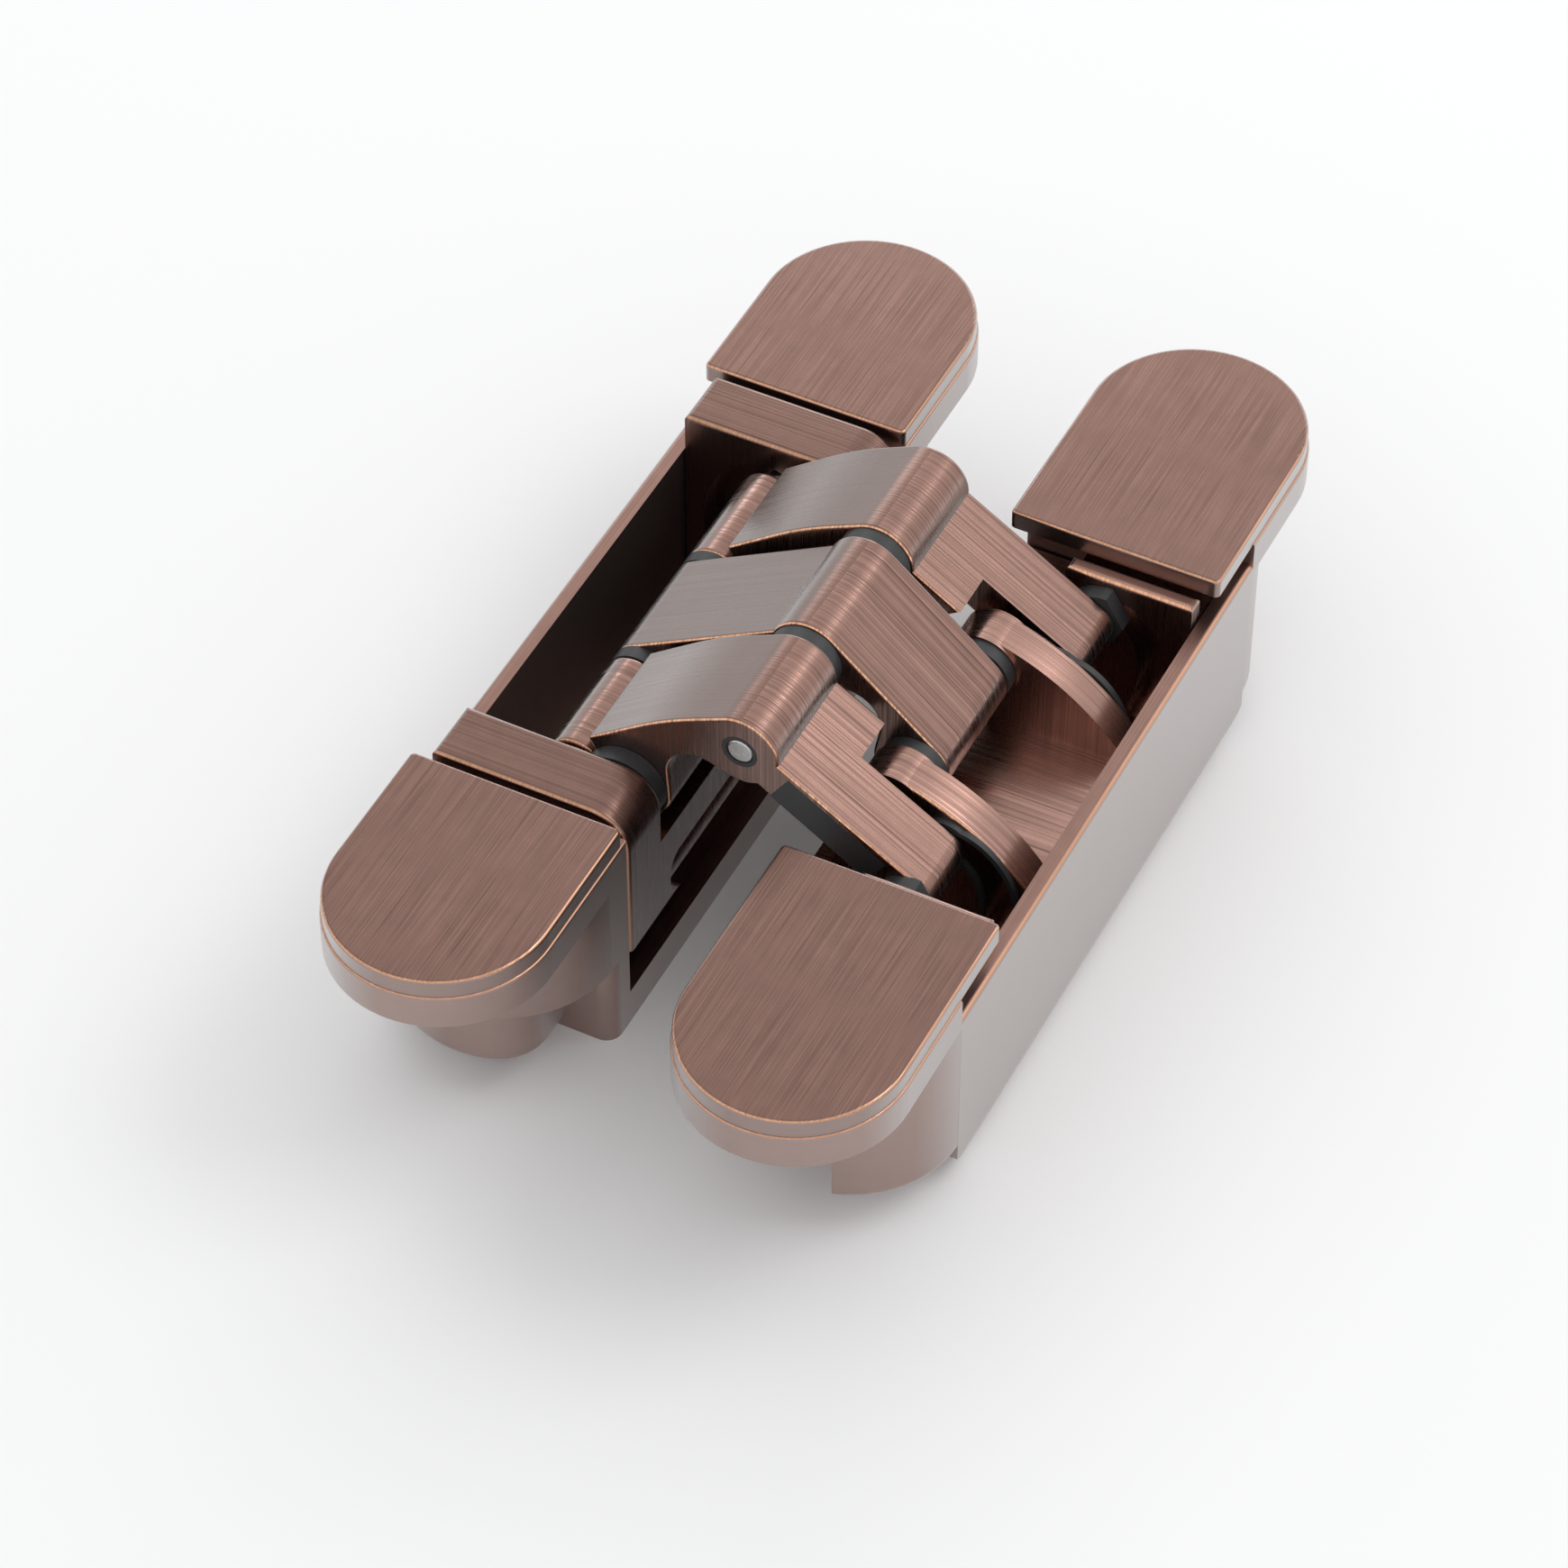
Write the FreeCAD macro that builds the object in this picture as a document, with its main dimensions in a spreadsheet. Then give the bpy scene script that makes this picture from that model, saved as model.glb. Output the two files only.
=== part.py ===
import FreeCAD, Part
import math
import os
import re
import Sketcher

# Concealed door hinge, opened to a straight angle. Two casings lie side by side, and two crossed arms
# bridge them. X runs from the frame casing to the door casing, Y along the hinge and Z up.
# The origin is in the middle of the underside.

DIMENSIONS = [
    ("CasingHeight", 29.5, "underside of a casing to the top of its caps"),
    ("CasingWidth", 24.4, "gap side to outer side of a casing"),
    ("SideGap", 14.76, "between the facing sides of the two casings"),
    ("EndCentre", 47.5, "middle of the hinge to the centre of a flange end"),
    ("BodyHalf", 35.5, "half length of the deep part of a casing"),
    ("EndCorner", 1.8, "gap-side corner of the frame casing's deep part"),
    ("NoseCentre", 35.0, "middle of the hinge to the centre of a body end"),
    ("NoseDrop", 18.0, "cap tops to the underside of a body end"),
    ("BossDrop", 25.0, "cap tops to the underside of a body end's boss"),
    ("FrameBossInset", 4.4, "gap side of the frame casing to its boss"),
    ("FrameBossCorner", 5.4, "gap-side corner of the frame casing's boss"),
    ("DoorBossInset", 15.8, "gap side of the door casing to its boss"),
    ("WallThickness", 1.8, "side walls of a casing"),
    ("FloorThickness", 2.0, "floor of a casing"),
    ("SillHeight", 4.5, "gap-side wall below the window"),
    ("RimDrop", 5.2, "cap tops to the lowered outer rim"),
    ("EndWall", 4.0, "end of the deep part to the space for the carrier"),
    ("CornerRadius", 3.0, "outer corners under a casing"),
    ("BossEdge", 0.8, "rounding under a boss"),
    ("RimEdge", 0.6, "rounding of the outer rim"),
    ("FlangeEdge", 0.3, "rounding of a flange's top and of the window's sides"),
    ("FlangeThickness", 4.2, "flange at both ends of a casing"),
    ("CapThickness", 2.2, "cap over a flange end"),
    ("CapWidth", 24.0, "width of a cap"),
    ("CapEdge", 0.4, "rounding round a cap's top"),
    ("CapCorner", 0.6, "corners of a cap beside the mechanism"),
    ("FrameCapSetback", 0.6, "space for the carrier to the frame caps"),
    ("DoorCapSetback", 0.45, "ledge of a door block to the door caps"),
    ("ScrewCentre", 53.0, "middle of the hinge to a fixing hole"),
    ("ScrewRadius", 2.4, "fixing hole in a flange"),
    ("ScrewHeadRadius", 4.6, "mouth of a fixing hole's countersink"),
    ("AdjusterCentre", 41.0, "middle of the hinge to an adjusting screw"),
    ("AdjusterRadius", 3.5, "adjusting screw"),
    ("AdjusterLength", 11.0, "adjusting screw"),
    ("AdjusterPlay", 0.2, "above and below an adjusting screw"),
    ("KeyHalf", 1.5, "half width of the hexagon socket"),
    ("KeyDepth", 2.5, "hexagon socket"),
    ("FitClearance", 0.25, "between a carrier and its casing"),
    ("CutMargin", 1.0, "how far a cut reaches past the face that it starts from"),
    ("RunningClearance", 0.05, "round a pin that turns in its bore"),
    ("CarrierDepth", 26.0, "cap tops to the underside of a carrier"),
    ("CarrierFloor", 1.4, "floor of a carrier"),
    ("BlockStart", 24.0, "middle of the hinge to an end block"),
    ("BlockRadius", 4.6, "gap-side shoulder of a frame block"),
    ("BlockEdge", 0.6, "rounding of a block's top edges"),
    ("LedgeWidth", 2.0, "ledge along the front of a door block"),
    ("LedgeDrop", 3.0, "ledge's top to the recess behind it"),
    ("DoorBlockDrop", 2.5, "cap tops to the top of a door block"),
    ("DoorBlockInset", 7.92, "gap side to the high part of a door block"),
    ("SillDrop", 9.3, "cap tops to the top of a carrier's gap-side wall"),
    ("WindowDrop", 14.0, "cap tops to the window in the gap-side wall"),
    ("WindowHeight", 5.5, "window in the gap-side wall, down to the shelf"),
    ("WindowCorner", 2.2, "corners of that window"),
    ("RollRadius", 2.5, "rolled front edge of a carrier's shelf"),
    ("RollInset", 0.4, "gap side to the rolled edge"),
    ("WindowHalf", 22.5, "half length of the window"),
    ("ShelfDrop", 19.5, "cap tops to the underside of a carrier's shelf"),
    ("ShelfInset", 6.6, "gap side to the deep part of a carrier"),
    ("PivotDrop", 4.5, "cap tops to the fixed pivots"),
    ("FramePivotOut", 12.3, "centre plane to the frame's pivot"),
    ("DoorPivotOut", 12.9, "centre plane to the door's pivot"),
    ("CentreOut", 0.5, "centre plane to the centre pin, towards the door"),
    ("CentreRise", 5.6, "cap tops up to the centre pin"),
    ("FrameSlideOut", 18.4, "centre plane to the frame's slide pin"),
    ("FrameSlideDrop", 5.3, "cap tops to the frame's slide pin"),
    ("DoorSlideOut", 19.4, "centre plane to the door's slide pins"),
    ("DoorSlideDrop", 6.8, "cap tops to the door's slide pins"),
    ("ClosedGap", 5.0, "between the cap tops of the closed hinge"),
    ("PinRadius", 1.5, "pivot pins and slide pins"),
    ("SlotClearance", 0.2, "round a slide pin in its slot"),
    ("SlotDepth", 3.0, "slots in the blocks and ribs"),
    ("KnuckleRadius", 4.3, "knuckles round the centre pin"),
    ("BushRadius", 2.0, "bushes of the centre pin"),
    ("ArmEdge", 0.35, "rounding of an arm's outline"),
    ("HeelRadius", 3.3, "heel of a roof plate, below its pivot"),
    ("HeelOffset", 1.55, "pivot to the heel's centre, towards the gap"),
    ("HeelDrop", 0.7, "pivot down to the heel's centre"),
    ("ArchRadius", 3.5, "arch under a roof plate"),
    ("ArchOut", 4.7, "centre pin to the arch's centre"),
    ("ArchDrop", 6.65, "centre pin down to the arch's centre"),
    ("CrownRadius", 40.0, "crown of an outer arm's roof plate"),
    ("CrownOut", 7.75, "centre pin to the crown's highest bend"),
    ("CrownRise", 0.85, "centre pin up to the crown's highest bend"),
    ("CrownAngle", 30.4, "slope of the crown at its bend, in degrees"),
    ("LipRadius", 0.6, "lip of an outer arm's roof plate"),
    ("LipOut", 3.8, "frame's pivot to the lip"),
    ("LipRise", 3.8, "frame's pivot up to the lip"),
    ("DoorEyeRadius", 3.7, "centre arm's eye round the door's pivot"),
    ("LegRoot", 2.1, "half thickness of an outer arm's leg at the knuckle"),
    ("LegEnd", 2.5, "half thickness of an outer arm's leg at its end"),
    ("CentreLegRoot", 3.45, "half thickness of the centre arm's leg at the knuckle"),
    ("SleeveRadius", 3.3, "sleeves on the frame's slide pin"),
    ("SleeveEdge", 0.5, "rounding of a sleeve's ends"),
    ("PinEdge", 0.3, "rounding of the centre pin's ends"),
    ("CentreArmHalf", 7.07, "half length of the centre arm, along the hinge"),
    ("WasherThickness", 1.53, "washers beside the centre arm"),
    ("PivotWasherThickness", 1.85, "washers beside the blocks"),
    ("CentreWasherRadius", 4.0, "washers between the knuckles"),
    ("DoorWasherRadius", 3.75, "washers at the door's pivot"),
    ("PivotWasherRadius", 4.5, "washers at the frame's pivot"),
    ("TabLength", 9.2, "short part of a leg, from the centre pin"),
    ("TabSlant", 2.5, "short part of a leg, longer on top and shorter below"),
    ("StripDepth", 0.8, "plastic strip let into a leg"),
    ("StripStart", 5.4, "centre pin to a strip, along the leg"),
    ("StripLength", 13.0, "plastic strip, along the leg"),
    ("StripHeight", 3.8, "plastic strip, across the leg"),
    ("ShoeReach", 3.45, "door's slide pin to a shoe's tip"),
    ("ShoeRadius", 3.1, "round side of the shoes, and end of the ribs' liners"),
    ("RibThickness", 4.55, "rib of the door carrier"),
    ("RibEye", 4.0, "rib's end round the door's pivot"),
    ("RibStep", 0.35, "rib set back from its end round the pivot"),
    ("RibEdge", 0.4, "rounding along a rib's crown"),
    ("RibCrown", 26.0, "crown of a rib"),
    ("RibEndDrop", 12.0, "cap tops to the low end of a rib's crown"),
    ("WellDrop", 11.9, "cap tops to the floor between the ribs"),
    ("WellThickness", 2.0, "floor between the ribs"),
    ("WellInset", 6.6, "gap side to the floor between the ribs"),
    ("LinerThickness", 0.7, "plastic liner on a rib's outer side"),
    ("LinerMargin", 0.6, "liner beside its slot"),
    ("LegGap", 0.3, "between a leg and its liner"),
    ("PinWall", 0.5, "end of the door's pin to the slots in the ribs"),
]

doc = FreeCAD.newDocument("ConcealedHinge")
sheet = doc.addObject("Spreadsheet::Sheet", "Dims")
for row, (alias, size, meaning) in enumerate(DIMENSIONS, start=1):
    sheet.set(f"A{row}", alias)
    sheet.set(f"B{row}", str(size))
    sheet.set(f"C{row}", meaning)
    sheet.setAlias(f"B{row}", alias)
doc.recompute()

# Places that many pieces share, as expressions of the sheet's dimensions
TOP = "CasingHeight"
PIVOT_Z = "(CasingHeight - PivotDrop)"
FRAME_PIVOT_X = "(-FramePivotOut)"
DOOR_PIVOT_X = "DoorPivotOut"
CENTRE_X = "CentreOut"
CENTRE_Z = "(CasingHeight + CentreRise)"
FRAME_SLIDE_X = "(-FrameSlideOut)"
FRAME_SLIDE_Z = "(CasingHeight - FrameSlideDrop)"
DOOR_SLIDE_X = "DoorSlideOut"
DOOR_SLIDE_Z = "(CasingHeight - DoorSlideDrop)"
INNER = "(SideGap / 2)"
OUTER = "(SideGap / 2 + CasingWidth)"
AXIS = "(SideGap / 2 + CasingWidth / 2)"
CARRIER_OUT = "(SideGap / 2 + CasingWidth - WallThickness - FitClearance)"
CAVITY_HALF = "(BodyHalf - EndWall)"
FRAME_CAP_START = f"({CAVITY_HALF} + FrameCapSetback)"
DOOR_CAP_START = "(BlockStart + LedgeWidth + DoorCapSetback)"
BLOCK_LENGTH = f"({CAVITY_HALF} - FitClearance - BlockStart)"
ARM_START = "(CentreArmHalf + RunningClearance + WasherThickness)"
ARM_END = "(BlockStart - PivotWasherThickness - RunningClearance)"
ARM_LENGTH = f"({ARM_END} - {ARM_START})"
RIB_END = f"({ARM_START} + RibThickness)"
LEG_START = f"({RIB_END} + LinerThickness + LegGap)"

# Two places this close are the same
SAME = 0.01

sub_parts = []


def bound(text):
    # Dimensions start with a capital letter, and functions such as cos don't
    return re.sub(r"[A-Z]\w*", lambda word: "Dims." + word.group(0), text)


def value(text):
    return float(sheet.evalExpression(bound(text).replace("Dims.", "")))


def bind(item, field, text):
    item.setExpression(field, bound(text))


def sub_part(item, label):
    item.Label = label
    sub_parts.append(item)
    return item


def unit(angle):
    return FreeCAD.Vector(math.cos(angle), math.sin(angle), 0)


def tangent_angle(here, there):
    # Direction of the line that leaves one peg and reaches the next, each passed on its own side
    step = there[0] - here[0]
    return math.atan2(step.y, step.x) - math.asin((there[1] - here[1]) / step.Length)


def touch(peg, angle):
    # Point where a line of this direction touches the peg
    return peg[0] - unit(angle + math.pi / 2) * peg[1]


def fix_point(sketch, geometry, place, point):
    across = sketch.addConstraint(Sketcher.Constraint("DistanceX", -1, 1, geometry, place, value(point[0])))
    bind(sketch, f"Constraints[{across}]", point[0])
    up = sketch.addConstraint(Sketcher.Constraint("DistanceY", -1, 1, geometry, place, value(point[1])))
    bind(sketch, f"Constraints[{up}]", point[1])


def draw_outline(sketch, points):
    # A point is a corner (x, y) or a peg (x, y, radius) that the outline wraps, going round
    # counter-clockwise. A negative radius makes a hollow. A single peg is a full circle.
    pegs = []
    for point in points:
        radius = value(point[2]) if len(point) > 2 else 0.0
        pegs.append((FreeCAD.Vector(value(point[0]), value(point[1]), 0), radius))
    if len(pegs) == 1:
        up = FreeCAD.Vector(0, 0, 1)
        circle = sketch.addGeometry(Part.Circle(pegs[0][0], up, pegs[0][1]), False)
        fix_point(sketch, circle, 3, points[0])
        size = sketch.addConstraint(Sketcher.Constraint("Radius", circle, pegs[0][1]))
        bind(sketch, f"Constraints[{size}]", points[0][2])
        return
    count = len(pegs)
    angles = [tangent_angle(pegs[i], pegs[(i + 1) % count]) for i in range(count)]
    lines = []
    for i in range(count):
        start = touch(pegs[i], angles[i])
        end = touch(pegs[(i + 1) % count], angles[i])
        lines.append(sketch.addGeometry(Part.LineSegment(start, end), False))
    for i in range(count):
        before, after = lines[i - 1], lines[i]
        centre, radius = pegs[i]
        if radius == 0:
            sketch.addConstraint(Sketcher.Constraint("Coincident", before, 2, after, 1))
            fix_point(sketch, after, 1, points[i])
            continue
        entry = touch(pegs[i], angles[i - 1]) - centre
        leave = touch(pegs[i], angles[i]) - centre
        first, last = (entry, leave) if radius > 0 else (leave, entry)
        circle = Part.Circle(centre, FreeCAD.Vector(0, 0, 1), abs(radius))
        span = (math.atan2(first.y, first.x), math.atan2(last.y, last.x))
        arc = sketch.addGeometry(Part.ArcOfCircle(circle, span[0], span[1]), False)
        entry_end, leave_end = (1, 2) if radius > 0 else (2, 1)
        sketch.addConstraint(Sketcher.Constraint("Tangent", before, 2, arc, entry_end))
        sketch.addConstraint(Sketcher.Constraint("Tangent", arc, leave_end, after, 1))
        fix_point(sketch, arc, 3, points[i])
        size = sketch.addConstraint(Sketcher.Constraint("Radius", arc, abs(radius)))
        bind(sketch, f"Constraints[{size}]", f"abs({points[i][2]})")


def new_body(name):
    return doc.addObject("PartDesign::Body", name)


def empty_sketch(body, name, plane, offset):
    origin = [item for item in body.Origin.OriginFeatures if item.Role == plane][0]
    sketch = body.newObject("Sketcher::SketchObject", name + "Sketch")
    sketch.AttachmentSupport = [(origin, "")]
    sketch.MapMode = "FlatFace"
    bind(sketch, "AttachmentOffset.Base.z", offset)
    return sketch


def sketch_on(body, name, plane, points, offset):
    sketch = empty_sketch(body, name, plane, offset)
    draw_outline(sketch, points)
    return sketch


def pad_up(body, name, points, low, height):
    # Seen from above, from z = low upwards
    pad = body.newObject("PartDesign::Pad", name)
    pad.Profile = sketch_on(body, name, "XY_Plane", points, low)
    bind(pad, "Length", height)
    return pad


def pocket_down(body, name, points, high, depth):
    # Seen from above, from z = high downwards
    pocket = body.newObject("PartDesign::Pocket", name)
    pocket.Profile = sketch_on(body, name, "XY_Plane", points, high)
    bind(pocket, "Length", depth)
    return pocket


def pad_along(body, name, points, start, length):
    # Seen along the hinge, from y = start onwards
    pad = body.newObject("PartDesign::Pad", name)
    pad.Profile = sketch_on(body, name, "XZ_Plane", points, f"-({start})")
    pad.Reversed = True
    bind(pad, "Length", length)
    return pad


def pocket_along(body, name, points, start, length):
    # Seen along the hinge, from y = start onwards
    pocket = body.newObject("PartDesign::Pocket", name)
    pocket.Profile = sketch_on(body, name, "XZ_Plane", points, f"-({start})")
    bind(pocket, "Length", length)
    return pocket


def pocket_across(body, name, points, start, length):
    # Seen across the hinge, with y and z in the sketch, from x = start towards the frame's side
    pocket = body.newObject("PartDesign::Pocket", name)
    pocket.Profile = sketch_on(body, name, "YZ_Plane", points, start)
    bind(pocket, "Length", length)
    return pocket


def round_edges(body, name, size, chosen):
    # Rounds the edges that the test picks out of the body as it stands
    doc.recompute([body])
    edges = [f"Edge{i + 1}" for i, edge in enumerate(body.Shape.Edges) if chosen(edge)]
    base = body.Tip
    fillet = body.newObject("PartDesign::Fillet", name)
    fillet.Base = (base, edges)
    bind(fillet, "Radius", size)
    body.Tip = fillet
    return fillet


def round_outline(body, name, size, first, second):
    # Rounds the edges that lie at either of these distances from the middle of the hinge
    ends = [value(first), value(second)]

    def lies_at_end(edge):
        low, high = edge.BoundBox.YMin, edge.BoundBox.YMax
        return high - low < SAME and min(abs(abs(low) - end) for end in ends) < SAME

    return round_edges(body, name, size, lies_at_end)


def box_points(low_x, high_x, low_y, high_y):
    return [(low_x, low_y), (high_x, low_y), (high_x, high_y), (low_x, high_y)]


def rounded_box(low_x, high_x, low_y, high_y, radius):
    low_x, high_x = f"{low_x} + {radius}", f"{high_x} - {radius}"
    low_y, high_y = f"{low_y} + {radius}", f"{high_y} - {radius}"
    return [(x, y, radius) for x, y in box_points(low_x, high_x, low_y, high_y)]


def is_upright(edge):
    box = edge.BoundBox
    return box.XLength < SAME and box.YLength < SAME


def sided(side, low, high):
    # The stretch from low to high on the positive side, or its mirror image on the negative side
    return (low, high) if side > 0 else (f"-({high})", f"-({low})")


def rod(name, radius, x, z, start, length):
    # Cylinder along the hinge
    cylinder = doc.addObject("Part::Cylinder", name)
    bind(cylinder, "Radius", radius)
    bind(cylinder, "Height", length)
    cylinder.Placement = FreeCAD.Placement(FreeCAD.Vector(), FreeCAD.Rotation(FreeCAD.Vector(1, 0, 0), -90))
    bind(cylinder, "Placement.Base.x", x)
    bind(cylinder, "Placement.Base.y", start)
    bind(cylinder, "Placement.Base.z", z)
    return cylinder


def ring(name, radius, hole, x, z, start, length):
    # Washer, sleeve or bush along the hinge
    cut = doc.addObject("Part::Cut", name)
    cut.Base = rod(name + "Outside", radius, x, z, start, length)
    cut.Tool = rod(name + "Hole", hole, x, z, start, length)
    return cut


def barrel(name, radius, edge, x, z, start, length):
    # Round bar along the hinge with rounded ends
    body = new_body(name)
    pad_along(body, "Bar", [(x, z, radius)], start, length)
    round_edges(body, "Ends", edge, lambda edge: edge.BoundBox.YLength < SAME)
    return body


def end_name(side):
    return "far" if side > 0 else "near"


# Closed hinge: the door casing faces the frame casing across the closed gap, and the centre pin is
# where the arms' lengths from the two pivots meet.
def closing_angles():
    pivot = complex(value(FRAME_PIVOT_X), value(PIVOT_Z))
    centre = complex(value(CENTRE_X), value(CENTRE_Z))
    door = complex(value(DOOR_PIVOT_X), value(PIVOT_Z))
    closed_door = complex(-door.real, value("CasingHeight + ClosedGap + PivotDrop"))
    reach = closed_door - pivot
    near, far = abs(centre - pivot), abs(centre - door)
    along = (abs(reach) ** 2 + near**2 - far**2) / (2 * abs(reach))
    aside = math.sqrt(near**2 - along**2)
    closed_centre = pivot + reach / abs(reach) * complex(along, aside)
    outer_turn = phase_step(centre - pivot, closed_centre - pivot)
    inner_turn = phase_step(door - centre, closed_door - closed_centre)
    return outer_turn, inner_turn


def phase_step(before, after):
    turn = after / before
    return math.atan2(turn.imag, turn.real)


def turned(angle):
    return complex(math.cos(angle), math.sin(angle))


def slide_paths(steps):
    # Tracks of the two sliding ends, each in its own casing, from open to closed
    outer_turn, inner_turn = closing_angles()
    pivot = complex(value(FRAME_PIVOT_X), value(PIVOT_Z))
    centre = complex(value(CENTRE_X), value(CENTRE_Z))
    door = complex(value(DOOR_PIVOT_X), value(PIVOT_Z))
    frame_end = complex(value(FRAME_SLIDE_X), value(FRAME_SLIDE_Z))
    door_end = complex(value(DOOR_SLIDE_X), value(DOOR_SLIDE_Z))
    frame_track, door_track = [], []
    for step in range(steps + 1):
        share = step / steps
        outer, inner = turned(outer_turn * share), turned(inner_turn * share)
        moved = pivot + outer * (centre - pivot)
        frame_track.append(moved + inner * (frame_end - centre))
        moved_door = moved + inner * (door - centre)
        moved_end = moved + outer * (door_end - centre)
        door_track.append(door + (moved_end - moved_door) * turned(-math.pi * share))
    return frame_track, door_track


def track_side(track, half_width, start):
    # Curve beside a track, on the left of the way from open to closed where half_width is positive
    points = []
    for i, place in enumerate(track):
        ahead = track[min(i + 1, len(track) - 1)] - track[max(i - 1, 0)]
        beside = place + ahead / abs(ahead) * complex(0, half_width)
        points.append(FreeCAD.Vector(beside.real, start, beside.imag))
    curve = Part.BSplineCurve()
    curve.interpolate(points)
    return curve.toShape(), points


def track_solid(track, half_width, start, length):
    # Round-ended band along a track, as deep along the hinge as asked
    left, left_points = track_side(track, half_width, start)
    right, right_points = track_side(track, -half_width, start)
    first = (track[0] - track[1]) / abs(track[0] - track[1])
    last = (track[-1] - track[-2]) / abs(track[-1] - track[-2])
    open_end = track[0] + first * half_width
    closed_end = track[-1] + last * half_width
    open_arc = Part.Arc(right_points[0], FreeCAD.Vector(open_end.real, start, open_end.imag), left_points[0])
    closed_middle = FreeCAD.Vector(closed_end.real, start, closed_end.imag)
    closed_arc = Part.Arc(left_points[-1], closed_middle, right_points[-1])
    outline = Part.Wire(Part.sortEdges([left, closed_arc.toShape(), right, open_arc.toShape()])[0])
    return Part.Face(outline).extrude(FreeCAD.Vector(0, length, 0))


FRAME_TRACK, DOOR_TRACK = slide_paths(8)


def slots(name, track, starts):
    # Blind slots that guide a slide pin, at each of the places along the hinge
    half_width = value("PinRadius + SlotClearance")
    feature = doc.addObject("Part::Feature", name)
    feature.Shape = Part.makeCompound(
        [track_solid(track, half_width, start, value("SlotDepth")) for start in starts]
    )
    return feature


# Casings: a shell with a floor, an outer wall and a window in its gap side, between two round-ended flanges
def casing(label, side, boss_inset, boss_corner):
    body = new_body(label.title().replace("_", ""))
    middle = f"{side} * {AXIS}"
    half = "(CasingWidth / 2)"
    low_x, high_x = sided(side, INNER, OUTER)
    block = box_points(low_x, high_x, "-BodyHalf", "BodyHalf")
    pad_up(body, "Block", block, "0", "CasingHeight - CapThickness")
    outer_face = side * value(OUTER)

    def is_outer_underside(edge):
        box = edge.BoundBox
        return abs(box.ZMax) < SAME and box.XLength < SAME and abs(box.XMin - outer_face) < SAME

    round_edges(body, "Corners", "CornerRadius", is_outer_underside)
    flange = [(middle, "-EndCentre", half), (middle, "EndCentre", half)]
    pad_up(body, "Flange", flange, "CasingHeight - CapThickness - FlangeThickness", "FlangeThickness")
    noses = [(middle, "-NoseCentre", half), (middle, "NoseCentre", half)]
    pad_up(body, "Noses", noses, "CasingHeight - NoseDrop", "NoseDrop - CapThickness - FlangeThickness")
    pad_up(body, "Bosses", noses, "CasingHeight - BossDrop", "BossDrop - NoseDrop")
    cut_low, cut_high = sided(side, f"{INNER} - CutMargin", f"{INNER} + {boss_inset}")
    for end in (-1, 1):
        low_y, high_y = sided(end, "BodyHalf", "NoseCentre + CasingWidth / 2 + CutMargin")
        step = box_points(cut_low, cut_high, low_y, high_y)
        pocket_down(body, "BossStep" + end_name(end), step, "CasingHeight - NoseDrop", "BossDrop - NoseDrop")
    boss_floor = value("CasingHeight - BossDrop")
    body_end = value("BodyHalf") + SAME

    def is_boss_corner(edge):
        box = edge.BoundBox
        return is_upright(edge) and abs(box.YMin) > body_end and abs(box.ZMin - boss_floor) < SAME

    def is_under_boss(edge):
        box = edge.BoundBox
        is_outside = max(abs(box.YMin), abs(box.YMax)) > body_end and box.YLength > SAME
        return is_outside and abs(box.ZMax - boss_floor) < SAME

    if boss_corner:
        round_edges(body, "BossCorners", boss_corner, is_boss_corner)
        round_end_corners(body, side)
    round_edges(body, "BossEdges", "BossEdge", is_under_boss)
    space_low, space_high = sided(side, f"{INNER} + WallThickness", f"{OUTER} - WallThickness")
    space = box_points(space_low, space_high, f"-{CAVITY_HALF}", CAVITY_HALF)
    pocket_down(body, "Space", space, TOP, "CasingHeight - FloorThickness")
    window_low, window_high = sided(side, f"{INNER} - CutMargin", f"{INNER} + WallThickness + CutMargin")
    window = box_points(window_low, window_high, f"-{CAVITY_HALF}", CAVITY_HALF)
    pocket_down(body, "Window", window, TOP, "CasingHeight - SillHeight")
    rim_low, rim_high = sided(side, f"{OUTER} - WallThickness", f"{OUTER} + CutMargin")
    rim = box_points(rim_low, rim_high, "-BodyHalf", "BodyHalf")
    pocket_down(body, "Rim", rim, TOP, "RimDrop")
    rim_top = value("CasingHeight - RimDrop")

    def is_rim_edge(edge):
        box = edge.BoundBox
        is_level = box.XLength < SAME and box.ZLength < SAME
        return is_level and abs(box.XMin - outer_face) < SAME and abs(box.ZMin - rim_top) < SAME

    round_edges(body, "RimEdges", "RimEdge", is_rim_edge)
    flange_top = value("CasingHeight - CapThickness")
    gap_face = side * value(INNER)
    half_width = value("CasingWidth / 2")
    window_end = value(CAVITY_HALF)
    axis = side * value(AXIS)
    flange_start = value("EndCentre") - SAME

    def is_flange_edge(edge):
        box = edge.BoundBox
        if box.ZLength < SAME and abs(box.ZMin - flange_top) < SAME:
            on_side = box.XLength < SAME and abs(abs(box.XMin - axis) - half_width) < SAME
            on_end = box.XLength > half_width and min(abs(box.YMin), abs(box.YMax)) > flange_start
            return on_side or on_end
        return is_upright(edge) and abs(box.XMin - gap_face) < SAME and abs(abs(box.YMin) - window_end) < SAME

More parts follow.
